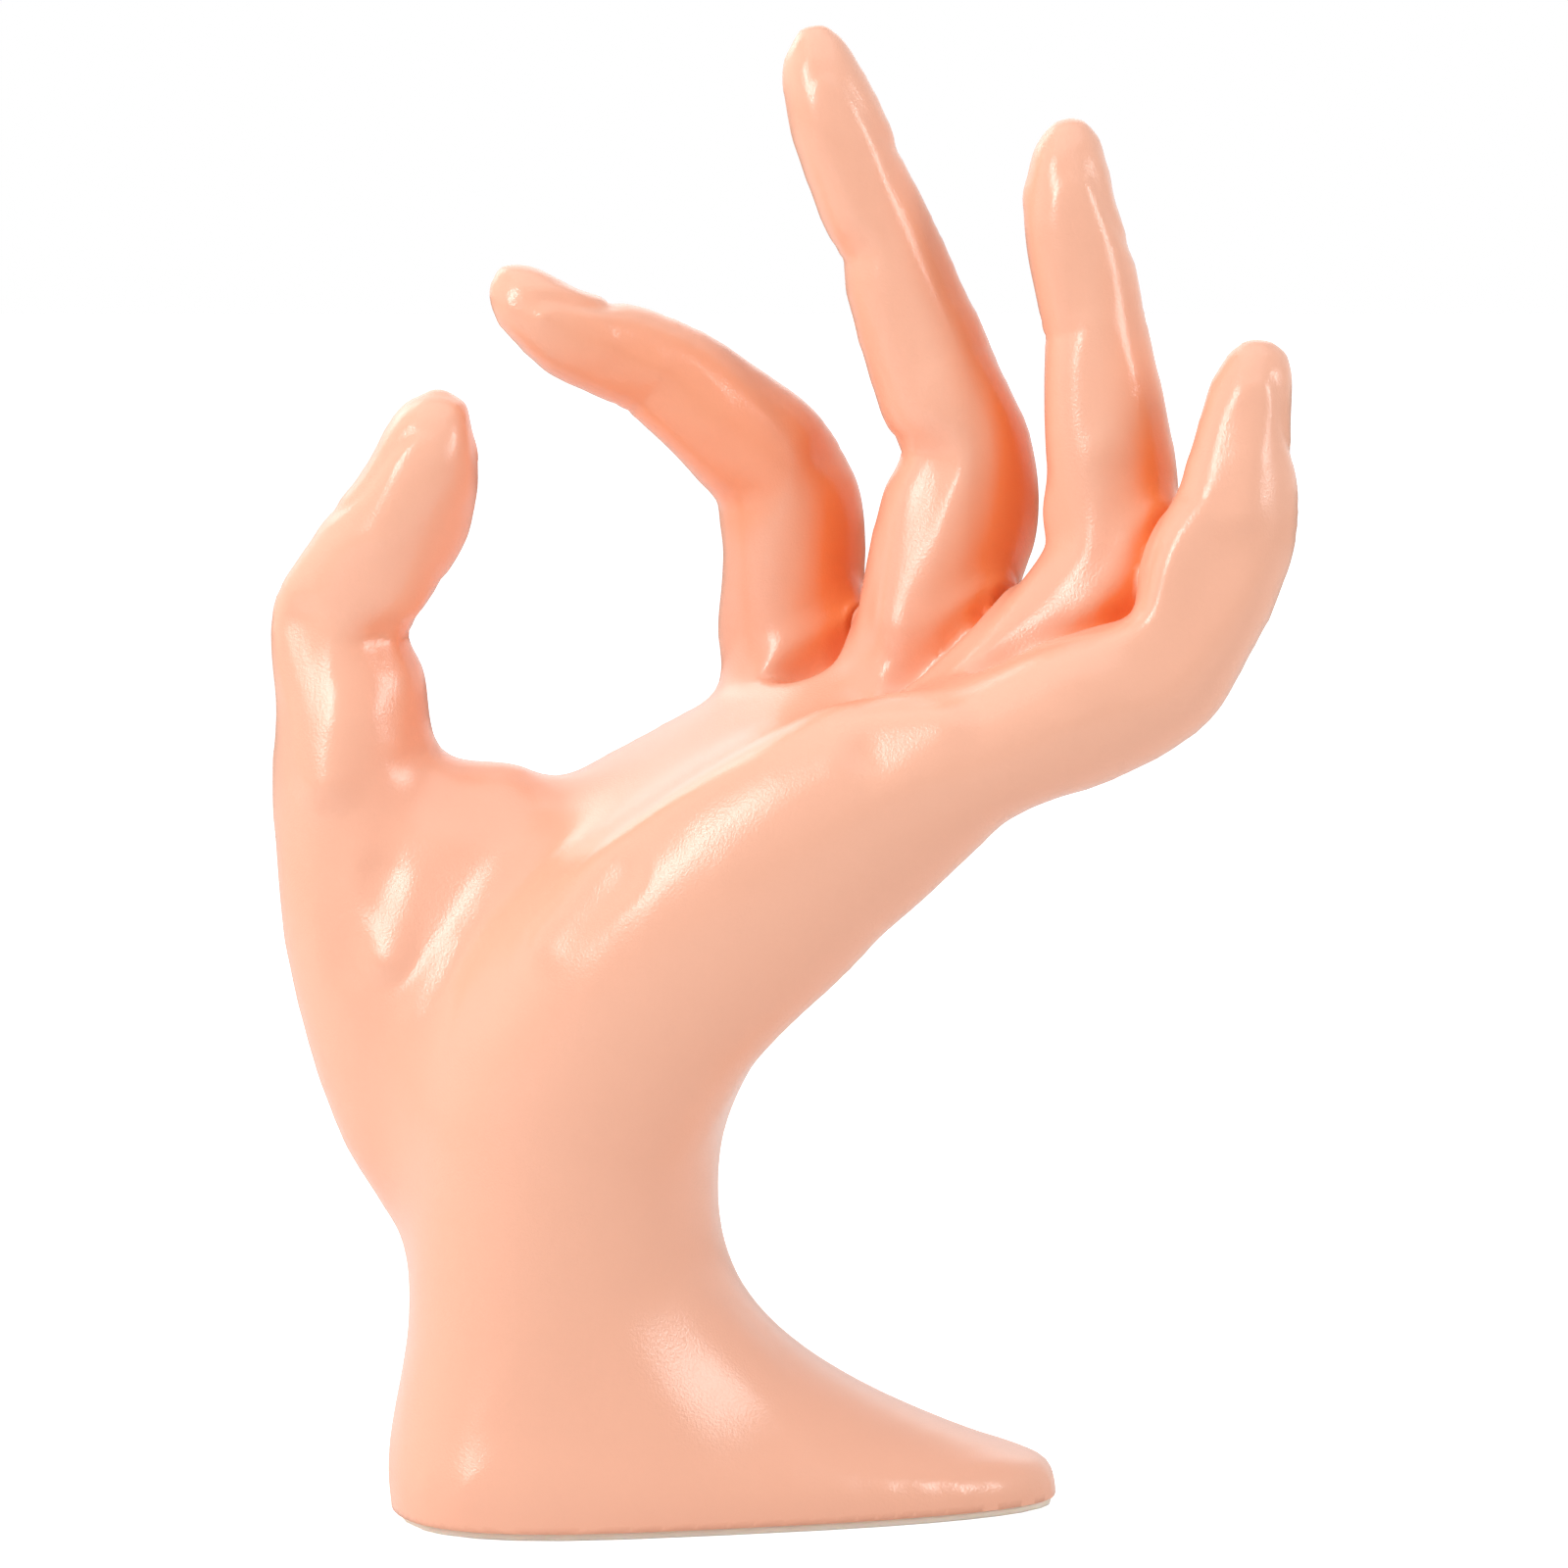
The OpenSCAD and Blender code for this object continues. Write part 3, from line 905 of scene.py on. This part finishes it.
class HAND_OT_moulded_hand(bpy.types.Operator):
    """Rebuild the hand's skin, fillet it, sculpt nails, folds and pads, and close it round its hollow"""

    bl_idname = "hand_stand.moulded_hand"
    bl_label = "Moulded Hand"

    def execute(self, context):
        shape = context.scene.hand_shape
        hand, hollow = self.part_skin_from_hollow()
        self.close_below(hand)
        crease = self.crease_tree(hand.data)
        soft = self.soft_form(hand, shape)
        modify(hand, "REMESH", mode="VOXEL", voxel_size=shape.voxel)
        self.lay_on(hand, soft, crease)
        self.sculpt(hand.data, shape)
        beside = self.even_out(hand.data, crease)
        # Painted shade between the fingers, at their roots and under the index
        self.paint_shade_in_recesses(hand.data, beside)
        self.cut_level(hand)
        self.join_hollow(hand, hollow)
        hand.data.materials.append(skin_finish(context.scene.hand_finish))
        take(hand)
        bpy.ops.object.shade_smooth_by_angle(angle=math.radians(50))
        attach(hand, "root")
        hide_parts("hand_shell")
        return {"FINISHED"}

    def part_skin_from_hollow(self):
        """Takes the rim's faces away, so that outer skin and hollow come apart."""
        hand = copy_node("hand_shell", "moulded_hand")
        for face in hand.data.polygons:
            faces_down = face.normal.z < -0.9
            face.select = faces_down and face.center.z < RIM_HEIGHT + RIM_ROOM * MM
        with edit_mode(hand):
            bpy.ops.mesh.select_mode(type="FACE")
            bpy.ops.mesh.delete(type="FACE")
            bpy.ops.mesh.select_mode(type="VERT")
        heights = [vertex.co.z for vertex in hand.data.vertices]
        hand.data.vertices[int(np.argmax(heights))].select = True
        with edit_mode(hand):
            bpy.ops.mesh.select_linked()
            bpy.ops.mesh.select_all(action="INVERT")
            bpy.ops.mesh.separate(type="SELECTED")
        hollow = [obj for obj in bpy.context.selected_objects if obj != hand][0]
        return hand, hollow

    def close_below(self, hand):
        """Draws the skin's lower edge down and closes it, to be cut level again later."""
        with edit_mode(hand):
            bpy.ops.mesh.select_all(action="DESELECT")
            bpy.ops.mesh.select_non_manifold(extend=False)
            bpy.ops.mesh.extrude_region_move(TRANSFORM_OT_translate={"value": (0, 0, -SKIRT * MM)})
            bpy.ops.mesh.edge_face_add()
            bpy.ops.mesh.select_all(action="SELECT")
            bpy.ops.mesh.normals_make_consistent(inside=False)

    def crease_tree(self, mesh):
        """Quick search for the nearest place on the creases between the fingers."""
        places = sharp_creases(mesh, Vector(PALM_WAY))
        roots = [place for place in places if place.z / MM + VIEW_SLOPE * place.y / MM > ROOT_HEIGHT]
        tree = KDTree(len(roots))
        for number, place in enumerate(roots):
            tree.insert(place, number)
        tree.balance()
        return tree

    def from_crease(self, mesh, crease):
        """Distance of each vertex from the creases between the fingers, in millimetres."""
        return np.array([crease.find(vertex.co)[2] for vertex in mesh.vertices]) / MM

    def soft_form(self, hand, shape):
        """A copy of the hand with the hollow of its palm and all its creases filled and evened out."""
        soft = hand.copy()
        soft.data = hand.data.copy()
        bpy.context.scene.collection.objects.link(soft)
        coarse = SOFT_COARSENESS * shape.voxel
        modify(soft, "REMESH", mode="VOXEL", voxel_size=coarse)
        points = read_points(soft.data)
        facing = turned_to(read_normals(soft.data), HOLLOW_WAY, -0.3, 0.2)
        from_middle = np.abs(from_line(points, PALM_FOLD)[0] - HOLLOW_MIDDLE)
        in_hollow = facing * fade(from_middle, *HOLLOW_BAND)
        fill_creases(soft.data, in_hollow, HOLLOW_TIMES * shape.fillet_passes)
        fill_creases(soft.data, 1.0 - FINGER_HOLD * finger_share(points), shape.fillet_passes)
        modify(soft, "REMESH", mode="VOXEL", voxel_size=coarse)
        relax(soft.data, everywhere(soft.data), SOFT_PASSES)
        relax(soft.data, finger_share(read_points(soft.data), BENT_FINGERS), BENT_PASSES)
        return soft

    def lay_on(self, hand, soft, crease):
        """Lays the skin on the soft form, except close to the creases between the fingers."""
        group = hand.vertex_groups.new(name="soft")
        away = rise(self.from_crease(hand.data, crease), *CRISP_STRETCH)
        in_front = rise(-read_points(hand.data)[:, 1], *SOFT_FRONT)
        for number, share in enumerate(np.maximum(away, in_front)):
            group.add([number], float(share), "REPLACE")
        relax(hand.data, everywhere(hand.data), LAY_PASSES)
        modify(hand, "SHRINKWRAP", target=soft, vertex_group="soft")
        hand.vertex_groups.clear()
        bpy.data.objects.remove(soft)

    def sculpt(self, mesh, shape):
        """Carves nails, joints, pads and the palm's fold, then pulls and flattens places on the skin."""
        points = read_points(mesh)
        normals = read_normals(mesh)
        crease = shape.crease_depth / MM
        lift = np.zeros(len(points))
        for finger in FINGERS.values():
            lift += carve_nail(finger, points, finger.nail * shape.nail_height / MM)
            for number, notch in enumerate(finger.notches, 1):
                lift += carve_joint(finger, points, number, notch, crease * (notch > 0))
            for number in range(1, finger.last + 1):
                lift += carve_pad(finger, points, number, PAD_SWELL)
        lift += carve_fold(points, normals)
        points = points + normals * lift[:, None]
        for _, place, move, reach in PULLS:
            points = pulled(points, place, move, reach)
        for _, start, end, facing, reach, share in FLATS:
            points = flattened(points, start, end, facing, reach, share)
        write_points(mesh, points)

    def even_out(self, mesh, crease):
        """Evens the skin out, most of all beside the creases, and gives each vertex's distance from them."""
        relax(mesh, everywhere(mesh, SCULPT_SHARE), SCULPT_PASSES)
        beside = self.from_crease(mesh, crease)
        relax(mesh, rise(beside, *BESIDE_START) * fade(beside, *BESIDE_END), BESIDE_PASSES)
        relax(mesh, fade(beside, *CREASE_STRETCH), CREASE_PASSES)
        return beside

    def paint_shade_in_recesses(self, mesh, beside):
        """Sets the share of painted shade, a deep orange: sides of fingers away from the thumb, their roots,
        and under the index.
        """
        points = read_points(mesh)
        normals = read_normals(mesh)
        fingers = finger_share(points)
        net = Net(mesh)
        # Painted shade: strongest where nearby parts close the skin in and it turns away from the thumb and
        # the lamps
        closed = recess_depth(mesh)[:, None]
        for _ in range(PAINTED_SHADE_PASSES):
            closed = (1.0 - PAINTED_SHADE_SPREAD) * closed + PAINTED_SHADE_SPREAD * net.mean(closed)
        away = turned_to(normals, AWAY_FROM_THUMB, -0.1, 0.9)
        between = np.clip(PAINTED_SHADE_GAIN * closed[:, 0] * away - PAINTED_SHADE_LOSS, 0.0, 1.0) * fingers
        behind = rise(points[:, 1], *BEHIND_STRETCH) * fingers
        shade_at_roots = ROOT_PAINTED_SHADE * fade(beside, *ROOT_PAINTED_SHADE_STRETCH) * rise(away, 0.1, 0.6) * behind
        below = turned_to(normals, UNDER_INDEX, -0.2, 0.6)
        from_bend = np.hypot(points[:, 0] - INDEX_BEND[0], points[:, 2] - INDEX_BEND[1])
        bend = fade(from_bend, *INDEX_BEND_STRETCH)
        shade_under_index = INDEX_PAINTED_SHADE * below * bend * finger_share(points, ["index"], first=1)
        deep = np.maximum.reduce([between, shade_at_roots, shade_under_index])
        attribute = mesh.attributes.new("painted_shade", "FLOAT", "POINT")
        attribute.data.foreach_set("value", deep.astype(np.float32))

    def cut_level(self, hand):
        """Cuts the skin level at the rim and leaves it open there."""
        points = read_points(hand.data)
        rim = RIM_HEIGHT / MM
        points[np.abs(points[:, 2] - rim) < RIM_SNAP, 2] = rim
        write_points(hand.data, points)
        with edit_mode(hand):
            bpy.ops.mesh.select_all(action="SELECT")
            plane = {"plane_co": (0, 0, RIM_HEIGHT), "plane_no": (0, 0, 1)}
            bpy.ops.mesh.bisect(**plane, clear_inner=True, threshold=0.001 * MM)
            bpy.ops.mesh.select_all(action="DESELECT")
        for face in hand.data.polygons:
            face.select = face.center.z < RIM_HEIGHT + CUT_ROOM * MM
        with edit_mode(hand):
            bpy.ops.mesh.delete(type="FACE")

    def join_hollow(self, hand, hollow):
        """Joins the hollow to the skin and closes the rim between them."""
        take(hand)
        hollow.select_set(True)
        bpy.ops.object.join()
        with edit_mode(hand):
            bpy.ops.mesh.select_all(action="DESELECT")
            bpy.ops.mesh.select_non_manifold(extend=False)
            bpy.ops.mesh.bridge_edge_loops()
            bpy.ops.mesh.select_all(action="SELECT")
            bpy.ops.mesh.normals_make_consistent(inside=False)


class HAND_OT_base_sheet(bpy.types.Operator):
    """Soften the edges of the base sheet"""

    bl_idname = "hand_stand.base_sheet"
    bl_label = "Base Sheet"

    def execute(self, context):
        sheet = copy_node("base_plate", "base_sheet")
        sharp = {"limit_method": "ANGLE", "angle_limit": math.radians(50)}
        modify(sheet, "BEVEL", width=0.25 * MM, segments=3, **sharp)
        sheet.data.materials.append(sheet_finish(context.scene.hand_finish))
        take(sheet)
        bpy.ops.object.shade_smooth_by_angle(angle=math.radians(40))
        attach(sheet, "root")
        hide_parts("base_plate")
        return {"FINISHED"}


class HAND_OT_ballast(bpy.types.Operator):
    """Finish the cast ballast inside the foot"""

    bl_idname = "hand_stand.ballast"
    bl_label = "Ballast"

    def execute(self, context):
        block = frame["nodes"]["ballast_block"]
        block.data.materials.clear()
        block.data.materials.append(cast_finish(context.scene.hand_finish))
        return {"FINISHED"}


class HAND_OT_studio(bpy.types.Operator):
    """Set up floor, surround, soft light and camera"""

    bl_idname = "hand_stand.studio"
    bl_label = "Studio"

    def execute(self, context):
        studio = context.scene.hand_studio
        context.scene.view_settings.view_transform = "Standard"
        self.floor()
        self.surround(context, studio)
        side_lamp = {"distance": 0.7, "size": (0.5, 0.6), "gloss": False}
        self.softbox("left_softbox", right=-46, up=26, distance=0.7, size=(0.13, 0.32), power=1.8)
        self.softbox("right_softbox", right=58, up=22, distance=0.8, size=(0.12, 0.3), power=1.3)
        self.softbox("left_side_softbox", right=-90, up=30, **side_lamp, power=1.8)
        self.softbox("right_side_softbox", right=90, up=25, **side_lamp, power=1.0)
        self.softbox("top_softbox", right=-10, up=78, distance=0.6, size=(0.7, 0.7), power=1.4)
        self.softbox("rim_softbox", right=-138, up=38, distance=0.9, size=(0.3, 0.5), power=0.9)
        self.softbox("back_softbox", right=-165, up=32, distance=1.0, size=(1.2, 0.7), power=1.5)
        self.camera(context, studio)
        return {"FINISHED"}

    def floor(self):
        """Wide white floor."""
        bpy.ops.object.select_all(action="DESELECT")
        bpy.ops.mesh.primitive_plane_add(size=30.0, location=(0, 0, 0))
        floor = bpy.context.object
        floor.name = "studio_floor"
        floor.data.materials.append(floor_finish())

    def surround(self, context, studio):
        """Even white light from all around, shown as white to the camera and in gloss."""
        world = bpy.data.worlds.new("studio_surround")
        context.scene.world = world
        world.use_nodes = True
        made = Nodes(world.node_tree)
        camera = made.node("ShaderNodeLightPath", output="Is Camera Ray")
        gloss = made.node("ShaderNodeLightPath", output="Is Glossy Ray")
        seen = made.node("ShaderNodeMath", {0: camera, 1: gloss}, operation="MAXIMUM")
        light = world.node_tree.nodes["Background"]
        made.feed(grey(1.0), light.inputs["Color"])
        made.feed(studio.fill + (1.0 - studio.fill) * seen, light.inputs["Strength"])

    def softbox(self, name, right, up, distance, size, power, gloss=True):
        """Soft lamp, by its degrees to the right of the camera and up, that gloss may show."""
        data = bpy.data.lights.new(name, "AREA")
        data.shape = "RECTANGLE"
        data.size, data.size_y = size
        data.energy = power
        lamp = bpy.data.objects.new(name, data)
        lamp.visible_glossy = gloss
        self.aim(lamp, math.radians(right), math.radians(up), distance)

    def camera(self, context, studio):
        """Camera at the photograph's angle."""
        data = bpy.data.cameras.new("photo_camera")
        data.lens = studio.lens
        data.sensor_width = 36.0
        data.clip_start = 0.01
        view = bpy.data.objects.new("photo_camera", data)
        self.aim(view, 0.0, studio.elevation, studio.distance)
        context.scene.camera = view

    def aim(self, obj, right, up, distance):
        """Puts a lamp or the camera out from the hand by two angles, turned to the middle of the view."""
        level = math.cos(up)
        way = Vector((level * math.sin(right), -level * math.cos(right), math.sin(up)))
        obj.location = VIEW_MIDDLE + distance * way
        obj.rotation_euler = (-way).to_track_quat("-Z", "Y").to_euler()
        bpy.context.scene.collection.objects.link(obj)


class HAND_PT_stand(bpy.types.Panel):
    """Lists the stand's settings, pieces and studio."""

    bl_label = "Hand Stand"
    bl_idname = "HAND_PT_stand"
    bl_space_type = "VIEW_3D"
    bl_region_type = "UI"
    bl_category = "Hand Stand"

    def draw(self, context):
        for settings, group in SETTINGS.items():
            box = self.layout.box()
            for name in group.__annotations__:
                box.prop(getattr(context.scene, settings), name)
        for operator in OPERATORS:
            self.layout.operator(operator.bl_idname)


SETTINGS = {"hand_shape": HandShape, "hand_finish": HandFinish, "hand_studio": HandStudio}
OPERATORS = (HAND_OT_moulded_hand, HAND_OT_base_sheet, HAND_OT_ballast, HAND_OT_studio)
CLASSES = (*SETTINGS.values(), *OPERATORS, HAND_PT_stand)


def register():
    """Makes the settings, operators and panel known to Blender."""
    for made in CLASSES:
        bpy.utils.register_class(made)
    for name, group in SETTINGS.items():
        setattr(bpy.types.Scene, name, PointerProperty(type=group))


def unregister():
    """Takes them away again."""
    for name in SETTINGS:
        delattr(bpy.types.Scene, name)
    for made in reversed(CLASSES):
        bpy.utils.unregister_class(made)


def main():
    """Builds the pieces and the studio."""
    register()
    bpy.ops.hand_stand.moulded_hand()
    bpy.ops.hand_stand.base_sheet()
    bpy.ops.hand_stand.ballast()
    bpy.ops.hand_stand.studio()


if __name__ == "__main__":
    main()
